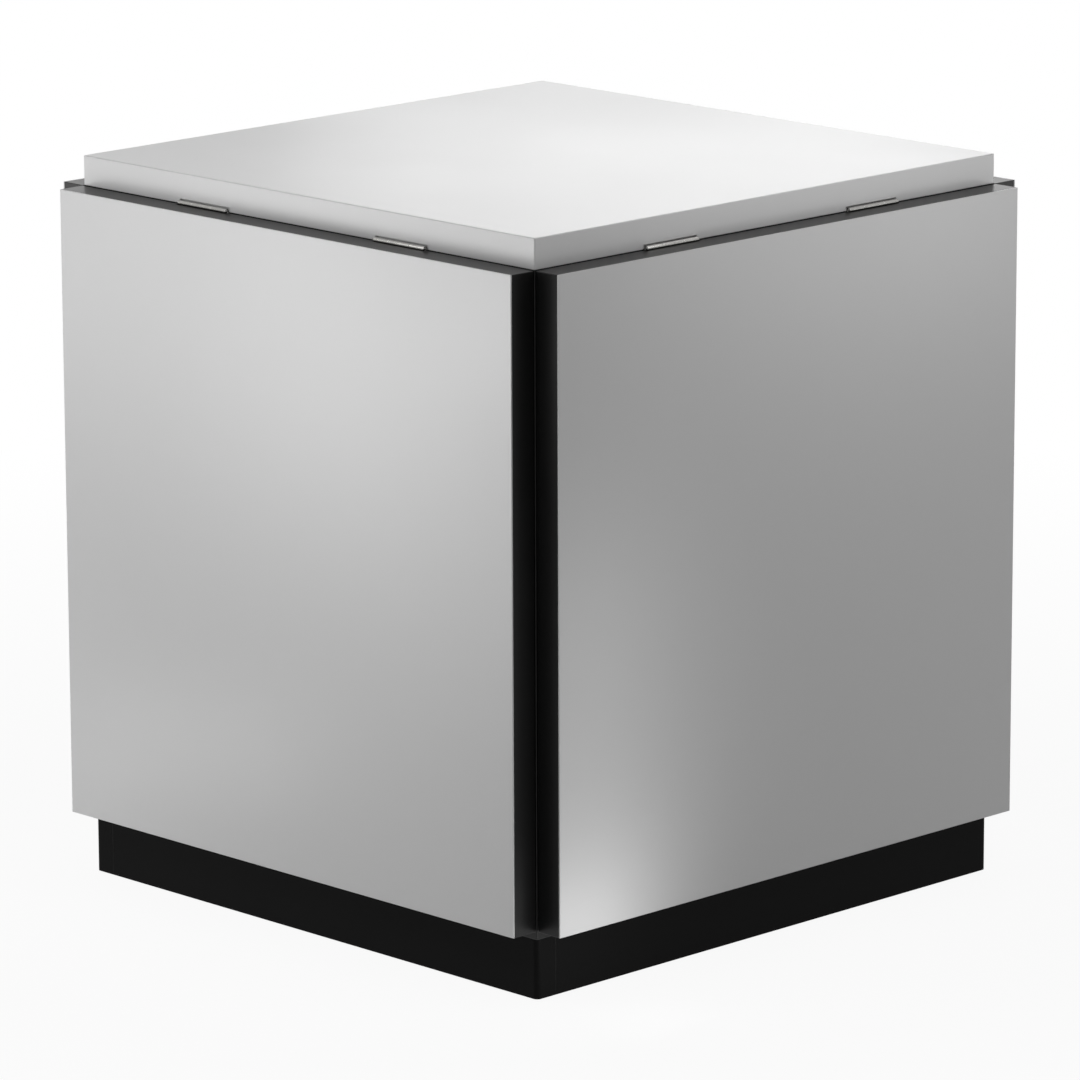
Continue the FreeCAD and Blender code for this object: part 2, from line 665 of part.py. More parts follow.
def make_stay_case(name, turn):
    """A steel box let into the carcass wall, open to the leaf, with a slot in each cheek for the foot pin."""
    label = f"{name}_stay_case"
    body = new_body(label, turn)
    shell = sketch_on(body, f"{label}_shell", "XZ_Plane", case_back)
    rectangle(shell, -case_width / 2, case_width / 2, case_bottom, case_top)
    pad(body, shell, side - case_back)
    flange = sketch_on(body, f"{label}_flange", "XZ_Plane", side - size["case_gauge"])
    rectangle(flange, -size["flange_width"] / 2, size["flange_width"] / 2, flange_bottom, flange_top)
    pad(body, flange, size["case_gauge"])
    inside = sketch_on(body, f"{label}_inside", "XZ_Plane", side)
    rectangle(inside, -size["case_inner_width"] / 2, size["case_inner_width"] / 2,
              case_bottom + size["case_gauge"], case_top - size["case_gauge"])
    cut(body, inside, side - case_back - size["case_gauge"])

    # the slots follow the foot pin's line, and step in at the top, where the leaf's weight seats the pin
    high = (-slot_high_end[0], slot_high_end[1])
    low = (-slot_low_end[0], slot_low_end[1])
    track = sketch_on(body, f"{label}_track", "YZ_Plane")
    slot(track, low, high, slot_radius)
    cut(body, track, case_width, both_ways=True)
    catch = sketch_on(body, f"{label}_catch", "YZ_Plane")
    slot(catch, high, (high[0] + size["slot_catch"], high[1]), slot_radius)
    cut(body, catch, case_width, both_ways=True)
    holes = sketch_on(body, f"{label}_holes", "XZ_Plane", side)
    for height in (flange_bottom + size["flange_tab"] / 2, flange_top - size["flange_tab"] / 2):
        circle(holes, 0, height, size["hole_radius"])
    cut(body, holes, size["case_gauge"])


# ---------------------------------------------------------------- the table
make_top_slab()
make_carcass_top()
make_slab_screws()
make_carcass_bottom()
make_corner_cleats()
make_corner_blocks()
make_glides()
make_leaf_bumpers()
for turn, name in enumerate(SIDES):
    make_carcass_wall(name, turn)
    make_plinth_rail(name, turn)
    make_leaf_panel(name, turn)
    make_leaf_face(name, turn)
    make_hinge_top_plates(name, turn)
    make_hinge_leaf_plates(name, turn)
    make_hinge_pins(name, turn)
    make_stay_bracket(name, turn)
    make_stay_arm(name, turn)
    make_stay_pins(name, turn)
    make_stay_case(name, turn)
document.recompute()

for item in document.Objects:
    if {"Invalid", "Error"} & set(item.State):
        raise RuntimeError(f"{item.Label} did not build: {item.State}")
for body in bodies:
    if body.Shape.isNull() or not body.Shape.isValid():
        raise RuntimeError(f"{body.Label} has no valid shape")

# Where the hinges and stays turn, for the joints.
print("hinge pin out and height", round(pin_out.value, 4), round(pin_height.value, 4))
print("stay pivot out and height", round(pivot_out.value, 4), round(pivot_height.value, 4))
for body in bodies:
    body.Shape.exportStep(f"parts/{body.Label}.step")
print(len(bodies), "pieces,", sum(len(body.Shape.Solids) for body in bodies), "solids")
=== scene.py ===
import math

import bmesh
import bpy
from mathutils import Matrix, Vector


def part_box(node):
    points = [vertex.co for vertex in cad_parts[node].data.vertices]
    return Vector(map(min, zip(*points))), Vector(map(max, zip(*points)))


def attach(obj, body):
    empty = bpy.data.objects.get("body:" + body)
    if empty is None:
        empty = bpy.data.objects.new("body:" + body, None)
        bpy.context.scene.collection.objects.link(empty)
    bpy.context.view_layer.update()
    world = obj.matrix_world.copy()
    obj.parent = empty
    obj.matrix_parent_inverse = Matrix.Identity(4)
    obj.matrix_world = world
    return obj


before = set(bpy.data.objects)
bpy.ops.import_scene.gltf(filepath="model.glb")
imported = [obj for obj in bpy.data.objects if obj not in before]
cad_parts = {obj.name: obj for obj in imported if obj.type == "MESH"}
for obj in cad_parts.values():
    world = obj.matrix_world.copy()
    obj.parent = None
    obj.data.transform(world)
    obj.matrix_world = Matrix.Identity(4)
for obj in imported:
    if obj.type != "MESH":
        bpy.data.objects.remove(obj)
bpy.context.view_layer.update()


# ---- Plinth rails
# Four rails of medium board, stained and sprayed with black satin lacquer. They are butted round the corners,
# glued, and rubbed down so that the outer corners are slightly round.
sides = ("front", "right", "back", "left")


def lay(tree, kind, **inputs):
    """Put a node in a tree. A number or colour sets the input of that name, and a socket is joined to it."""
    node = tree.nodes.new(kind)
    for name, value in inputs.items():
        socket = node.inputs[name.replace("_", " ")]
        if isinstance(value, bpy.types.NodeSocket):
            tree.links.new(value, socket)
        else:
            socket.default_value = value
    return node


def work_out(tree, operation, *values, clamp=False):
    """One step of arithmetic between numbers and sockets."""
    node = tree.nodes.new("ShaderNodeMath")
    node.operation = operation
    node.use_clamp = clamp
    for socket, value in zip(node.inputs, values):
        if isinstance(value, bpy.types.NodeSocket):
            tree.links.new(value, socket)
        else:
            socket.default_value = value
    return node.outputs[0]


def spread(tree, value, low, high, to_low=0.0, to_high=1.0):
    """Stretch a value from one range to another, and hold it there at both ends."""
    node = lay(tree, "ShaderNodeMapRange", Value=value)
    for name, number in (("From Min", low), ("From Max", high), ("To Min", to_low), ("To Max", to_high)):
        node.inputs[name].default_value = number
    return node.outputs["Result"]


def blend_colours(tree, share, first, second):
    """First colour where share is 0, second where it is 1."""
    node = tree.nodes.new("ShaderNodeMix")
    node.data_type = "RGBA"
    for socket, value in ((node.inputs[0], share), (node.inputs[6], first), (node.inputs[7], second)):
        if isinstance(value, bpy.types.NodeSocket):
            tree.links.new(value, socket)
        else:
            socket.default_value = value
    return node.outputs[2]


def grey(level):
    return (level, level, level, 1.0)


def new_group(name, inputs, outputs):
    """An empty shader node group with the sockets given, and its two end nodes."""
    group = bpy.data.node_groups.new(name, "ShaderNodeTree")
    for socket_name, kind, number in inputs:
        socket = group.interface.new_socket(socket_name, in_out="INPUT", socket_type=kind)
        socket.default_value = number
    for socket_name, kind in outputs:
        group.interface.new_socket(socket_name, in_out="OUTPUT", socket_type=kind)
    return group, group.nodes.new("NodeGroupInput"), group.nodes.new("NodeGroupOutput")


def use_group(tree, group, **inputs):
    node = tree.nodes.new("ShaderNodeGroup")
    node.node_tree = group
    for name, value in inputs.items():
        socket = node.inputs[name.replace("_", " ")]
        if isinstance(value, bpy.types.NodeSocket):
            tree.links.new(value, socket)
        else:
            socket.default_value = value
    return node


def new_material(name, **shader_values):
    """A material with one shader, whose plain values are set on the shader itself."""
    material = bpy.data.materials.new(name)
    material.use_nodes = True
    shader = material.node_tree.nodes["Principled BSDF"]
    for socket_name, value in shader_values.items():
        shader.inputs[socket_name.replace("_", " ")].default_value = value
    return material, material.node_tree, shader


def finish_nodes(material, *names):
    """Give finished CAD pieces their material."""
    for name in names:
        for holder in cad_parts[name].material_slots:
            holder.material = material


# Sprayed or pressed surfaces: a very fine pebbled skin, slow cloudy patches, and hairline rubs.
surface_skin, skin_in, skin_out = new_group(
    "surface_skin",
    [("Pebble Scale", "NodeSocketFloat", 1600.0), ("Cloud Scale", "NodeSocketFloat", 6.0)],
    [("Pebble", "NodeSocketFloat"), ("Cloud", "NodeSocketFloat"), ("Rubs", "NodeSocketFloat")])
place = surface_skin.nodes.new("ShaderNodeTexCoord").outputs["Object"]
pebble = lay(surface_skin, "ShaderNodeTexNoise", Vector=place, Scale=skin_in.outputs["Pebble Scale"],
             Detail=2.0, Roughness=0.6)
cloud = lay(surface_skin, "ShaderNodeTexNoise", Vector=place, Scale=skin_in.outputs["Cloud Scale"],
            Detail=4.0, Roughness=0.62)
long_place = lay(surface_skin, "ShaderNodeMapping", Vector=place, Scale=(9.0, 9.0, 620.0),
                 Rotation=(0.35, 0.28, 0.0))
rub = lay(surface_skin, "ShaderNodeTexNoise", Vector=long_place.outputs[0], Scale=1.0, Detail=1.0)
surface_skin.links.new(pebble.outputs["Fac"], skin_out.inputs["Pebble"])
surface_skin.links.new(spread(surface_skin, cloud.outputs["Fac"], 0.1, 0.9), skin_out.inputs["Cloud"])
surface_skin.links.new(spread(surface_skin, rub.outputs["Fac"], 0.66, 0.74), skin_out.inputs["Rubs"])

# Eased edges: the normal of a slightly rounded edge, and a broken mask of where hands and feet rub it, also
# used for a painted edge highlight.
eased_edge, edge_in, edge_out = new_group(
    "eased_edge", [("Width", "NodeSocketFloat", 0.0008)],
    [("Normal", "NodeSocketVector"), ("Wear And Highlight", "NodeSocketFloat")])
rounded = lay(eased_edge, "ShaderNodeBevel", Radius=edge_in.outputs["Width"])
rounded.samples = 6
flat = eased_edge.nodes.new("ShaderNodeNewGeometry")
alike = eased_edge.nodes.new("ShaderNodeVectorMath")
alike.operation = "DOT_PRODUCT"
eased_edge.links.new(rounded.outputs[0], alike.inputs[0])
eased_edge.links.new(flat.outputs["True Normal"], alike.inputs[1])
patches = lay(eased_edge, "ShaderNodeTexNoise", Scale=38.0, Detail=5.0, Roughness=0.7,
              Vector=eased_edge.nodes.new("ShaderNodeTexCoord").outputs["Object"])
near_edge = spread(eased_edge, alike.outputs["Value"], 0.985, 0.86)
wear_and_highlight = work_out(eased_edge, "MULTIPLY", near_edge, spread(eased_edge, patches.outputs["Fac"], 0.38, 0.66))
eased_edge.links.new(rounded.outputs[0], edge_out.inputs["Normal"])
eased_edge.links.new(wear_and_highlight, edge_out.inputs["Wear And Highlight"])

# Dust: a thin broken film on what faces up.
settled_dust, dust_in, dust_out = new_group(
    "settled_dust", [("Amount", "NodeSocketFloat", 0.3)], [("Dust", "NodeSocketFloat")])
facing = lay(settled_dust, "ShaderNodeSeparateXYZ",
             Vector=settled_dust.nodes.new("ShaderNodeNewGeometry").outputs["True Normal"])
specks = lay(settled_dust, "ShaderNodeTexNoise", Scale=420.0, Detail=4.0, Roughness=0.75,
             Vector=settled_dust.nodes.new("ShaderNodeTexCoord").outputs["Object"])
upward = spread(settled_dust, facing.outputs["Z"], 0.6, 0.98)
film = work_out(settled_dust, "MULTIPLY", upward, spread(settled_dust, specks.outputs["Fac"], 0.42, 0.72))
settled_dust.links.new(work_out(settled_dust, "MULTIPLY", film, dust_in.outputs["Amount"]),
                       dust_out.inputs["Dust"])


def black_finish(name, colour, worn_and_highlit_edge, rough_low, rough_high, gloss, pebble_depth, dust_amount):
    """Black satin lacquer on board, paler along the edges: partly where they are rubbed, partly a painted
    highlight.
    """
    material, tree, shader = new_material(name, IOR=1.5, Specular_IOR_Level=gloss)
    skin = use_group(tree, surface_skin, Pebble_Scale=1500.0, Cloud_Scale=7.0)
    edge = use_group(tree, eased_edge, Width=0.0009)
    dust = use_group(tree, settled_dust, Amount=dust_amount)
    body_colour = blend_colours(tree, skin.outputs["Cloud"], grey(colour * 0.85), grey(colour * 1.15))
    # edges paler: partly rubbed lacquer, partly a painted edge highlight
    body_colour = blend_colours(tree, edge.outputs["Wear And Highlight"], body_colour, grey(worn_and_highlit_edge))
    body_colour = blend_colours(tree, dust.outputs["Dust"], body_colour, (0.30, 0.29, 0.28, 1.0))
    tree.links.new(body_colour, shader.inputs["Base Color"])
    rough = spread(tree, skin.outputs["Cloud"], 0.0, 1.0, rough_low, rough_high)
    rough = work_out(tree, "ADD", rough, work_out(tree, "MULTIPLY", skin.outputs["Rubs"], 0.02))
    rough = work_out(tree, "ADD", rough, work_out(tree, "MULTIPLY", dust.outputs["Dust"], 0.5), clamp=True)
    tree.links.new(rough, shader.inputs["Roughness"])
    bump = lay(tree, "ShaderNodeBump", Strength=0.35, Distance=pebble_depth,
               Height=skin.outputs["Pebble"], Normal=edge.outputs["Normal"])
    tree.links.new(bump.outputs["Normal"], shader.inputs["Normal"])
    return material


plinth_black = black_finish("plinth_black_lacquer", 0.0060, 0.024, 0.34, 0.42, 0.03, 0.00003, 0.10)
finish_nodes(plinth_black, *[f"plinth_{side}" for side in sides])


# ---- Corner blocks and cleats
# Offcuts of planed softwood, left bare. The three-cornered blocks are glued in behind the plinth rails, and
# the square cleats stand in the corners of the carcass and tie its walls together.
bare_wood, tree, shader = new_material("bare_softwood", IOR=1.45)
place = tree.nodes.new("ShaderNodeTexCoord").outputs["Object"]
trunk = lay(tree, "ShaderNodeMapping", Vector=place, Location=(0.31, 0.12, 0.0), Rotation=(0.05, 0.03, 0.4))
rings = lay(tree, "ShaderNodeTexWave", Vector=trunk.outputs[0], Scale=42.0, Distortion=5.0, Detail=3.0)
rings.inputs["Detail Scale"].default_value = 0.6
rings.wave_type = "RINGS"
rings.rings_direction = "Z"
fibre_place = lay(tree, "ShaderNodeMapping", Vector=place, Scale=(900.0, 900.0, 26.0))
fibre = lay(tree, "ShaderNodeTexNoise", Vector=fibre_place.outputs[0], Scale=1.0, Detail=3.0, Roughness=0.6)
wood_colour = blend_colours(tree, rings.outputs["Fac"], (0.62, 0.45, 0.27, 1.0), (0.44, 0.28, 0.14, 1.0))
wood_colour = blend_colours(tree, spread(tree, fibre.outputs["Fac"], 0.45, 0.8, 0.0, 0.45), wood_colour,
                            (0.36, 0.23, 0.12, 1.0))
tree.links.new(wood_colour, shader.inputs["Base Color"])
tree.links.new(spread(tree, fibre.outputs["Fac"], 0.3, 0.7, 0.55, 0.8), shader.inputs["Roughness"])
bump = lay(tree, "ShaderNodeBump", Strength=0.4, Distance=0.00008, Height=fibre.outputs["Fac"])
tree.links.new(bump.outputs["Normal"], shader.inputs["Normal"])
finish_nodes(bare_wood, "plinth_corner_blocks", "corner_cleats")


# ---- Felt glides and bumpers
# Squares of pressed black wool felt with a sticky back. The thicker ones are the glides that the table
# stands on, and the thin ones keep each hanging leaf off the carcass.
felt, tree, shader = new_material("black_wool_felt", Sheen_Weight=0.25, Sheen_Roughness=0.5, IOR=1.4)
place = tree.nodes.new("ShaderNodeTexCoord").outputs["Object"]
hairs = lay(tree, "ShaderNodeTexNoise", Vector=place, Scale=1900.0, Detail=6.0, Roughness=0.8, Distortion=1.4)
tufts = lay(tree, "ShaderNodeTexVoronoi", Vector=place, Scale=700.0)
felt_colour = blend_colours(tree, spread(tree, hairs.outputs["Fac"], 0.35, 0.7), grey(0.012), grey(0.055))
tree.links.new(felt_colour, shader.inputs["Base Color"])
tree.links.new(spread(tree, hairs.outputs["Fac"], 0.3, 0.7, 0.85, 1.0), shader.inputs["Roughness"])
pile = work_out(tree, "ADD", hairs.outputs["Fac"], tufts.outputs["Distance"])
bump = lay(tree, "ShaderNodeBump", Strength=0.9, Distance=0.00025, Height=pile)
tree.links.new(bump.outputs["Normal"], shader.inputs["Normal"])
finish_nodes(felt, "glides", "leaf_bumpers")


# ---- Carcass
# A box of four mitred walls with a bottom and a top between them, all of the same black satin board. It is
# glued round the cleats and stands on the plinth, flush with it.
board_black = black_finish("board_black_lacquer", 0.0075, 0.024, 0.28, 0.36, 0.20, 0.00003, 0.08)
finish_nodes(board_black, "carcass_bottom", "carcass_top", *[f"carcass_{side}" for side in sides])


# ---- Stay cases
# Each is bent from zinc-plated sheet steel with a slot pressed through both cheeks, let into a carcass wall
# and held by two flat-headed screws through its flange.
drawn_metal, metal_in, metal_out = new_group(
    "drawn_metal", [("Streak Scale", "NodeSocketFloat", 240.0), ("Patch Scale", "NodeSocketFloat", 90.0)],
    [("Streaks", "NodeSocketFloat"), ("Patches", "NodeSocketFloat"), ("Nicks", "NodeSocketFloat")])
place = drawn_metal.nodes.new("ShaderNodeTexCoord").outputs["Object"]
drawn_place = lay(drawn_metal, "ShaderNodeMapping", Vector=place, Scale=(10.0, 10.0, 0.35))
streaks = lay(drawn_metal, "ShaderNodeTexNoise", Vector=drawn_place.outputs[0],
              Scale=metal_in.outputs["Streak Scale"], Detail=2.0)
patches = lay(drawn_metal, "ShaderNodeTexVoronoi", Vector=place, Scale=metal_in.outputs["Patch Scale"],
              Randomness=1.0)
nicks = lay(drawn_metal, "ShaderNodeTexNoise", Vector=place, Scale=1400.0, Detail=3.0, Roughness=0.7)
drawn_metal.links.new(spread(drawn_metal, streaks.outputs["Fac"], 0.3, 0.7), metal_out.inputs["Streaks"])
drawn_metal.links.new(patches.outputs["Color"], metal_out.inputs["Patches"])
drawn_metal.links.new(spread(drawn_metal, nicks.outputs["Fac"], 0.64, 0.72), metal_out.inputs["Nicks"])


def metal_finish(name, dark, light, rough_low, rough_high, streak_depth, edge_width, patch_scale=90.0):
    """Plated steel: streaks along the sheet, crystal patches in the plating, small nicks, and bright edges
    that are partly rubbed plating and partly a painted highlight.
    """
    material, tree, shader = new_material(name, Metallic=1.0)
    metal = use_group(tree, drawn_metal, Patch_Scale=patch_scale)
    edge = use_group(tree, eased_edge, Width=edge_width)
    plating = blend_colours(tree, metal.outputs["Patches"], dark, light)
    # edges brightened: partly rubbed plating, partly a painted edge highlight
    plating = blend_colours(tree, edge.outputs["Wear And Highlight"], plating, (0.80, 0.80, 0.79, 1.0))
    plating = blend_colours(tree, work_out(tree, "MULTIPLY", metal.outputs["Nicks"], 0.5), plating,
                            (0.30, 0.30, 0.30, 1.0))
    tree.links.new(plating, shader.inputs["Base Color"])
    rough = spread(tree, metal.outputs["Streaks"], 0.0, 1.0, rough_low, rough_high)
    tree.links.new(work_out(tree, "ADD", rough, work_out(tree, "MULTIPLY", metal.outputs["Nicks"], 0.15)),
                   shader.inputs["Roughness"])
    bump = lay(tree, "ShaderNodeBump", Strength=0.3, Distance=streak_depth,
               Height=metal.outputs["Streaks"], Normal=edge.outputs["Normal"])
    tree.links.new(bump.outputs["Normal"], shader.inputs["Normal"])
    return material


zinc_steel = metal_finish("zinc_plated_steel", (0.46, 0.47, 0.49, 1.0), (0.60, 0.60, 0.60, 1.0),
                          0.30, 0.42, 0.00001, 0.0004)
finish_nodes(zinc_steel, *[f"{side}_stay_case" for side in sides])


# ---- Top slab
# One square board with a pale silver satin laminate pressed over its top and edges. The edges are eased, and
# the lower ones are notched for the hinges.
def pale_finish(name, colour, rough_low, rough_high, pebble_depth, dust_amount):
    """Pale silver satin laminate: a pearly skin, a slightly cloudy sheen, and slightly bright edges that are
    partly rubbing and partly a painted highlight.
    """
    material, tree, shader = new_material(name, IOR=1.5)
    skin = use_group(tree, surface_skin, Pebble_Scale=1900.0, Cloud_Scale=5.0)
    edge = use_group(tree, eased_edge, Width=0.0007)
    dust = use_group(tree, settled_dust, Amount=dust_amount)
    pearl = blend_colours(tree, skin.outputs["Pebble"], grey(colour * 0.985), grey(colour * 1.015))
    pearl = blend_colours(tree, spread(tree, skin.outputs["Cloud"], 0.0, 1.0, 0.0, 0.06), pearl,
                          grey(colour * 0.8))
    # edges lightened: partly rubbed laminate, partly a painted edge highlight
    pearl = blend_colours(tree, work_out(tree, "MULTIPLY", edge.outputs["Wear And Highlight"], 0.35), pearl, grey(0.86))
    pearl = blend_colours(tree, dust.outputs["Dust"], pearl, (0.60, 0.59, 0.57, 1.0))
    tree.links.new(pearl, shader.inputs["Base Color"])
    rough = spread(tree, skin.outputs["Cloud"], 0.0, 1.0, rough_low, rough_high)
    rough = work_out(tree, "ADD", rough, work_out(tree, "MULTIPLY", dust.outputs["Dust"], 0.3), clamp=True)
    tree.links.new(rough, shader.inputs["Roughness"])
    bump = lay(tree, "ShaderNodeBump", Strength=0.2, Distance=pebble_depth,
               Height=skin.outputs["Pebble"], Normal=edge.outputs["Normal"])
    tree.links.new(bump.outputs["Normal"], shader.inputs["Normal"])
    return material


# the slab's laminate is given a lighter colour than the same laminate on the leaves: painted light
slab_silver = pale_finish("slab_silver_laminate", 0.72, 0.28, 0.34, 0.000006, 0.02)
finish_nodes(slab_silver, "top_slab")


# ---- Slab screws
# Four bright zinc-plated steel screws with flat heads. They are driven up from inside, through the carcass
# top and into the slab.
screw_plating = metal_finish("bright_zinc_screw", (0.55, 0.55, 0.56, 1.0), (0.66, 0.66, 0.66, 1.0),
                             0.22, 0.32, 0.000006, 0.0002, patch_scale=400.0)
finish_nodes(screw_plating, "slab_screws")


# ---- Leaf panels and faces
# Each leaf is a board of the slab's size: a black core, left to show at all four edges, with a sheet of the
# pale laminate pressed on its outer face only.
finish_nodes(board_black, *[f"{side}_leaf_panel" for side in sides])
# the leaves' laminate is given a darker colour than the same laminate on the slab: painted shade
leaf_silver = pale_finish("leaf_silver_laminate", 0.66, 0.28, 0.34, 0.000006, 0.0)
finish_nodes(leaf_silver, *[f"{side}_leaf_face" for side in sides])


# ---- Hinges
# Nickel-plated steel butt hinges, two to a side. The barrel is rolled from the plates and stands in a notch
# of the slab, and the pin is peened flush with the barrel's ends.
# the plating colour is set much darker than nickel's own: painted shade standing in for darker reflections in
# the barrels
hinge_nickel = metal_finish("polished_nickel", (0.31, 0.305, 0.295, 1.0), (0.37, 0.365, 0.35, 1.0),
                            0.06, 0.12, 0.000004, 0.0006, patch_scale=300.0)
for side in sides:
    finish_nodes(hinge_nickel, f"{side}_hinge_top_plates", f"{side}_hinge_leaf_plates", f"{side}_hinge_pins")


# ---- Stay brackets, arms and pins
# The bracket is folded from thicker zinc-plated steel and let into the leaf. The arm is a flat bar that turns
# on a pin between its ears, and carries the pin that runs in the case's slots.
for side in sides:
    finish_nodes(zinc_steel, f"{side}_stay_bracket", f"{side}_stay_arm", f"{side}_stay_pins")


# ---- Small screws
# Flat-headed cross-slot wood screws of zinc-plated steel, driven flush. They hold the hinge plates and the
# stay's bracket to the leaf, and the case's flange to the carcass wall.
head_radius = 0.0026
head_height = 0.0009
rim_width = 0.00018
head_dome = 0.00006
shank_radius = 0.0013
shank_length = 0.009
point_share = 0.25
point_width = 0.12
slot_width = 0.0006
slot_length = 0.0030
driver_height = 0.0016
proud = 0.00008

bpy.ops.object.select_all(action="DESELECT")
bpy.ops.mesh.primitive_cylinder_add(vertices=32, radius=head_radius, depth=head_height,
                                    location=(0.0, 0.0, -head_height / 2))
pattern_screw = bpy.context.active_object
pattern_screw.name = "pattern_screw"


def pick_faces(piece, wanted):
    """In edit mode, select just the faces that the test picks by their middle and normal."""
    skin_mesh = bmesh.from_edit_mesh(piece.data)
    for part in (skin_mesh.verts, skin_mesh.edges, skin_mesh.faces):
        for item in part:
            item.select = False
    for face in skin_mesh.faces:
        if wanted(face.calc_center_median() + piece.location, face.normal):
            face.select = True
    skin_mesh.select_flush_mode()
    bmesh.update_edit_mesh(piece.data)


bpy.ops.object.mode_set(mode="EDIT")
bpy.ops.mesh.select_mode(type="FACE")
# underside drawn in to the shank, then the shank drawn down to a point
pick_faces(pattern_screw, lambda middle, normal: normal.z < -0.9)
bpy.ops.transform.resize(value=(shank_radius / head_radius, shank_radius / head_radius, 1.0),
                         center_override=(0.0, 0.0, -head_height))
for share in (1.0 - point_share, point_share):
    bpy.ops.mesh.extrude_region_move(TRANSFORM_OT_translate={"value": (0.0, 0.0, -shank_length * share)})
bpy.ops.transform.resize(value=(point_width, point_width, 1.0),
                         center_override=(0.0, 0.0, -head_height - shank_length))
# rim of the head eased, and its face domed a little
pick_faces(pattern_screw, lambda middle, normal: normal.z > 0.9)
bpy.ops.mesh.inset(thickness=rim_width)
bpy.ops.transform.translate(value=(0.0, 0.0, head_dome))
bpy.ops.object.mode_set(mode="OBJECT")
bpy.ops.object.transform_apply(location=True, rotation=True, scale=True)

# cross slot: a tapered cross driver pressed into the head
bpy.ops.object.select_all(action="DESELECT")
bpy.ops.mesh.primitive_cube_add(size=1.0, location=(0.0, 0.0, 0.0))
driver = bpy.context.active_object
driver.name = "driver"
bpy.ops.transform.resize(value=(slot_width, slot_length, driver_height))
bpy.ops.object.transform_apply(location=False, rotation=False, scale=True)
bpy.ops.object.mode_set(mode="EDIT")
bpy.ops.mesh.select_mode(type="FACE")
pick_faces(driver, lambda middle, normal: normal.z < -0.9)
bpy.ops.transform.resize(value=(0.6, 0.45, 1.0), center_override=(0.0, 0.0, -driver_height / 2))
bpy.ops.mesh.select_all(action="SELECT")
bpy.ops.mesh.duplicate()
bpy.ops.transform.rotate(value=math.pi / 2, orient_axis="Z", center_override=(0.0, 0.0, 0.0))
bpy.ops.object.mode_set(mode="OBJECT")
bpy.ops.object.select_all(action="DESELECT")
pattern_screw.select_set(True)
bpy.context.view_layer.objects.active = pattern_screw
slot_cut = pattern_screw.modifiers.new("cross_slot", "BOOLEAN")
slot_cut.operation = "DIFFERENCE"
slot_cut.solver = "EXACT"
slot_cut.use_self = True
slot_cut.object = driver
bpy.ops.object.modifier_apply(modifier=slot_cut.name)
bpy.data.objects.remove(driver)
bpy.ops.object.shade_smooth_by_angle(angle=math.radians(35.0))
pattern_screw.data.materials.append(screw_plating)


def drive_screw(name, at, out, turn, body):
    """A copy of the screw with its head's face at a point, its head facing out, on a body."""
    bpy.ops.object.select_all(action="DESELECT")
    screw = pattern_screw.copy()
    screw.data = pattern_screw.data.copy()
    screw.name = screw.data.name = name
    bpy.context.scene.collection.objects.link(screw)
    facing_out = out.to_track_quat("Z", "Y").to_matrix().to_4x4()
    spun = Matrix.Rotation(turn, 4, "Z")
    screw.data.transform(Matrix.Translation(at + out * proud) @ facing_out @ spun)
    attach(screw, body)


def outward(number):
    """The direction that a side faces: front -Y, then round through right, back and left."""
    return Matrix.Rotation(math.radians(90.0 * number), 3, "Z") @ Vector((0.0, -1.0, 0.0))


hinge_middle = 0.100
hinge_hole_across = 0.016
hinge_hole_above_foot = 0.0072
hinge_gauge = 0.0008
hole_from_end = 0.008
for number, side in enumerate(sides):
    out = outward(number)
    along = Matrix.Rotation(math.radians(90.0), 3, "Z") @ out
    plate_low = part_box(f"{side}_hinge_leaf_plates")[0]
    bracket_low, bracket_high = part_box(f"{side}_stay_bracket")
    flange_low, flange_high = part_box(f"{side}_stay_case")
    leaf_low, leaf_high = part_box(f"{side}_leaf_panel")
    inner_face = min(leaf_low.dot(out), leaf_high.dot(out))
    flange_face = max(flange_low.dot(out), flange_high.dot(out))
    plate_face = inner_face - hinge_gauge
    for count, across in enumerate((-hinge_middle - hinge_hole_across, -hinge_middle + hinge_hole_across,
                                    hinge_middle - hinge_hole_across, hinge_middle + hinge_hole_across)):
        at = along * across + out * plate_face + Vector((0.0, 0.0, plate_low.z + hinge_hole_above_foot))
        drive_screw(f"{side}_hinge_screw_{count + 1}", at, -out, 0.35 * count + 0.2 * number, f"{side}_leaf")
    for count, height in enumerate((bracket_low.z + hole_from_end, bracket_high.z - hole_from_end)):
        at = out * inner_face + Vector((0.0, 0.0, height))
        drive_screw(f"{side}_bracket_screw_{count + 1}", at, -out, 0.5 + 0.6 * count, f"{side}_leaf")
    for count, height in enumerate((flange_low.z + hole_from_end, flange_high.z - hole_from_end)):
        at = out * flange_face + Vector((0.0, 0.0, height))
        drive_screw(f"{side}_flange_screw_{count + 1}", at, out, 0.9 + 0.5 * count, "base")
bpy.data.objects.remove(pattern_screw)


# ---- Studio floor
# A wide plain white floor of seamless paper, a hair below the glides. Close to the table it shows the soft
# shadow, and further off it runs out to white.
floor_width = 60.0
below_glides = 0.0001
bpy.ops.object.select_all(action="DESELECT")
bpy.ops.mesh.primitive_grid_add(x_subdivisions=8, y_subdivisions=8, size=floor_width,
                                location=(0.0, 0.0, -below_glides))
floor = bpy.context.active_object
floor.name = "studio_floor"
paper, tree, shader = new_material("studio_paper", Roughness=0.7)
shader.inputs["Base Color"].default_value = grey(0.80)
place = tree.nodes.new("ShaderNodeTexCoord").outputs["Object"]
distance = tree.nodes.new("ShaderNodeVectorMath")
distance.operation = "LENGTH"
tree.links.new(place, distance.inputs[0])
far_off = spread(tree, distance.outputs["Value"], 0.45, 1.5, 0.93, 1.0)
ray = tree.nodes.new("ShaderNodeLightPath")
shows = work_out(tree, "ADD", ray.outputs["Is Camera Ray"], ray.outputs["Is Glossy Ray"])
shows = work_out(tree, "ADD", shows, ray.outputs["Is Transmission Ray"], clamp=True)
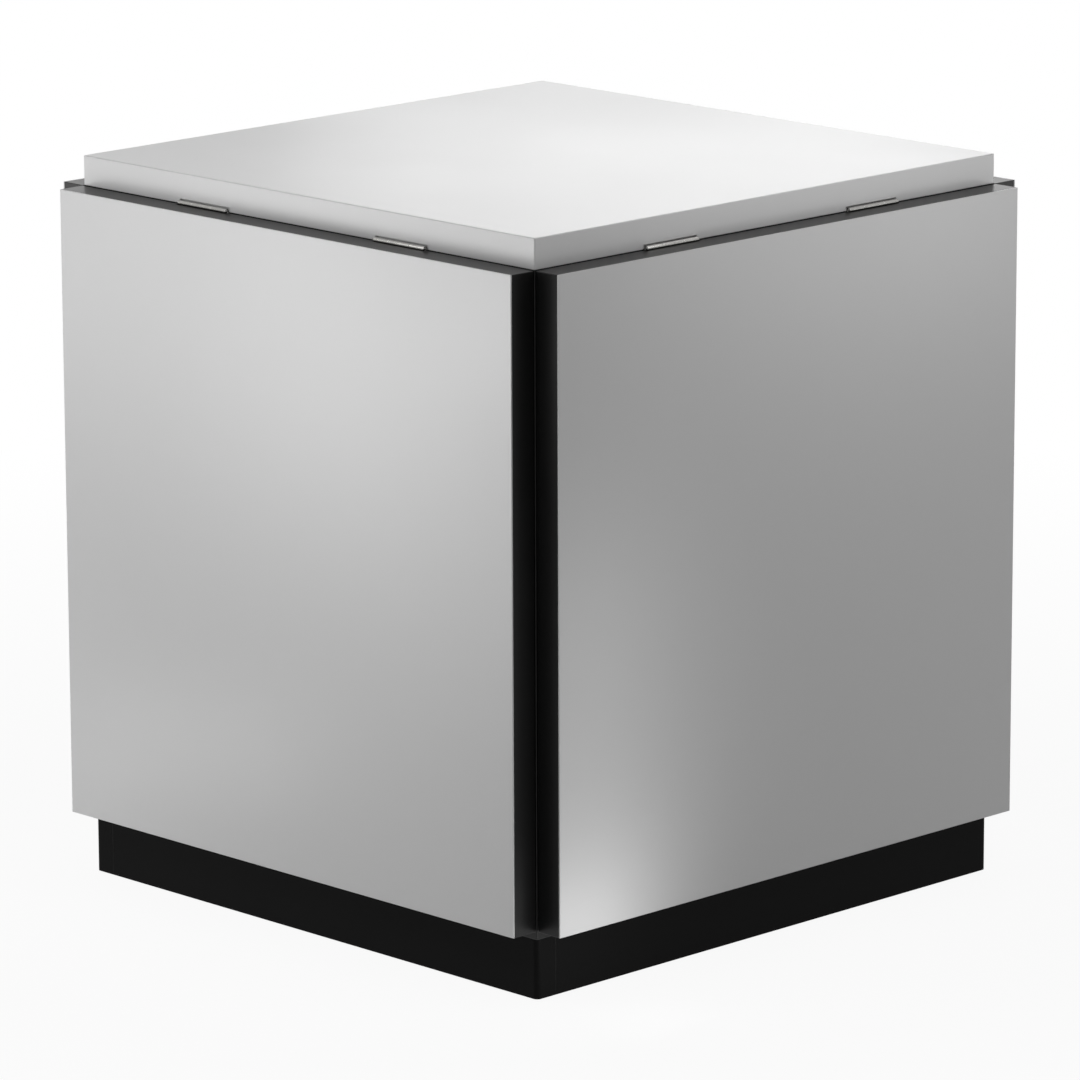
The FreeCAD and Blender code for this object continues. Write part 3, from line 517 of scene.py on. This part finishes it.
white = lay(tree, "ShaderNodeEmission", Color=grey(1.0), Strength=1.0)
mixed = tree.nodes.new("ShaderNodeMixShader")
tree.links.new(work_out(tree, "MULTIPLY", far_off, shows), mixed.inputs[0])
tree.links.new(shader.outputs[0], mixed.inputs[1])
tree.links.new(white.outputs[0], mixed.inputs[2])
tree.links.new(mixed.outputs[0], tree.nodes["Material Output"].inputs["Surface"])
floor.data.materials.append(paper)


# ---- Studio light
# Soft boxes round the table and a plain pale surround. The lamps themselves don't show to the camera. Where
# the surround is seen or mirrored it is plain white, and it lights the table more weakly than it looks.
world = bpy.data.worlds.new("studio_surround")
bpy.context.scene.world = world
world.use_nodes = True
tree = world.node_tree
surround = tree.nodes["Background"]
surround.inputs["Color"].default_value = grey(1.0)
surround.inputs["Strength"].default_value = 0.20
backdrop = lay(tree, "ShaderNodeBackground", Color=grey(1.0), Strength=1.0)
ray = tree.nodes.new("ShaderNodeLightPath")
mixed = tree.nodes.new("ShaderNodeMixShader")
shows = work_out(tree, "ADD", ray.outputs["Is Camera Ray"], ray.outputs["Is Glossy Ray"])
shows = work_out(tree, "ADD", shows, ray.outputs["Is Transmission Ray"], clamp=True)
tree.links.new(shows, mixed.inputs[0])
tree.links.new(surround.outputs[0], mixed.inputs[1])
tree.links.new(backdrop.outputs[0], mixed.inputs[2])
tree.links.new(mixed.outputs[0], tree.nodes["World Output"].inputs["Surface"])


def soft_box(name, at, aim, width, height, watts, spread_angle=180.0):
    """A rectangular lamp that faces a point and is hidden from the camera. A grid can narrow its spread."""
    lamp = bpy.data.lights.new(name, "AREA")
    lamp.shape = "RECTANGLE"
    lamp.size = width
    lamp.size_y = height
    lamp.energy = watts
    lamp.spread = math.radians(spread_angle)
    holder = bpy.data.objects.new(name, lamp)
    bpy.context.scene.collection.objects.link(holder)
    holder.location = at
    holder.rotation_euler = (Vector(aim) - Vector(at)).to_track_quat("-Z", "Y").to_euler()
    holder.visible_camera = False


soft_box("key_box", (-0.35, -0.85, 0.95), (-0.05, -0.25, 0.4), 0.5, 0.3, 1.508)
soft_box("near_front_box", (-0.22, -0.8, 0.68), (-0.08, -0.25, 0.45), 0.4, 0.2, 0.403)
soft_box("front_box", (0.1, -0.5, 0.42), (0.15, -0.25, 0.42), 0.3, 0.12, 0.242)
soft_box("low_left_box", (-1.2, -1.2, 0.25), (-0.1, -0.25, 0.25), 0.7, 0.4, 3.0)
soft_box("left_card", (-0.3, -0.45, 0.05), (-0.25, -0.25, 0.08), 0.2, 0.08, 0.075)
soft_box("back_box", (-2.1, 2.1, 1.0), (0.0, 0.0, 0.4), 1.8, 1.0, 1.918)
soft_box("near_back_box", (-1.2, 1.4, 1.0), (0.05, 0.1, 0.53), 0.8, 0.5, 1.117)
soft_box("small_back_box", (-0.8, 0.95, 0.85), (0.05, 0.05, 0.53), 0.5, 0.25, 0.134)
soft_box("narrow_back_box", (-0.62, 0.8, 0.74), (0.1, 0.1, 0.53), 0.3, 0.14, 0.029)
soft_box("top_box", (0.12, 0.12, 0.85), (0.12, 0.12, 0.53), 0.3, 0.3, 0.321)
soft_box("right_box", (0.55, 0.1, 0.8), (0.25, 0.08, 0.5), 0.4, 0.15, 0.659)
soft_box("low_right_box", (1.1, 1.0, 0.35), (0.25, 0.1, 0.5), 0.4, 0.3, 1.033)
soft_box("upright_card", (0.42, -0.2, 0.22), (0.25, -0.215, 0.2), 0.08, 0.2, 0.030, 120.0)
soft_box("corner_card", (0.36, -0.2, 0.03), (0.25, -0.215, 0.06), 0.08, 0.05, 0.036, 120.0)


# ---- Camera
# A long lens, a little above the table, looking at the corner between its front and right leaves. The camera
# is unshifted.
swing = math.radians(45.524)
raise_by = math.radians(13.185)
roll = math.radians(-0.197)
aim = Vector((0.0, 0.0, 0.2472))
away = 4.8710
back = Vector((math.sin(swing) * math.cos(raise_by), -math.cos(swing) * math.cos(raise_by),
               math.sin(raise_by)))
level = Vector((math.cos(swing), math.sin(swing), 0.0))
upright = back.cross(level)
across = level * math.cos(roll) + upright * math.sin(roll)
upright = back.cross(across)
lens = bpy.data.cameras.new("camera")
lens.lens = 225.84
lens.sensor_width = 36.0
lens.clip_end = 200.0
camera = bpy.data.objects.new("camera", lens)
bpy.context.scene.collection.objects.link(camera)
turned = Matrix((across, upright, back)).transposed().to_4x4()
camera.matrix_world = Matrix.Translation(aim + back * away) @ turned
bpy.context.scene.camera = camera
bpy.context.scene.view_settings.view_transform = "Standard"
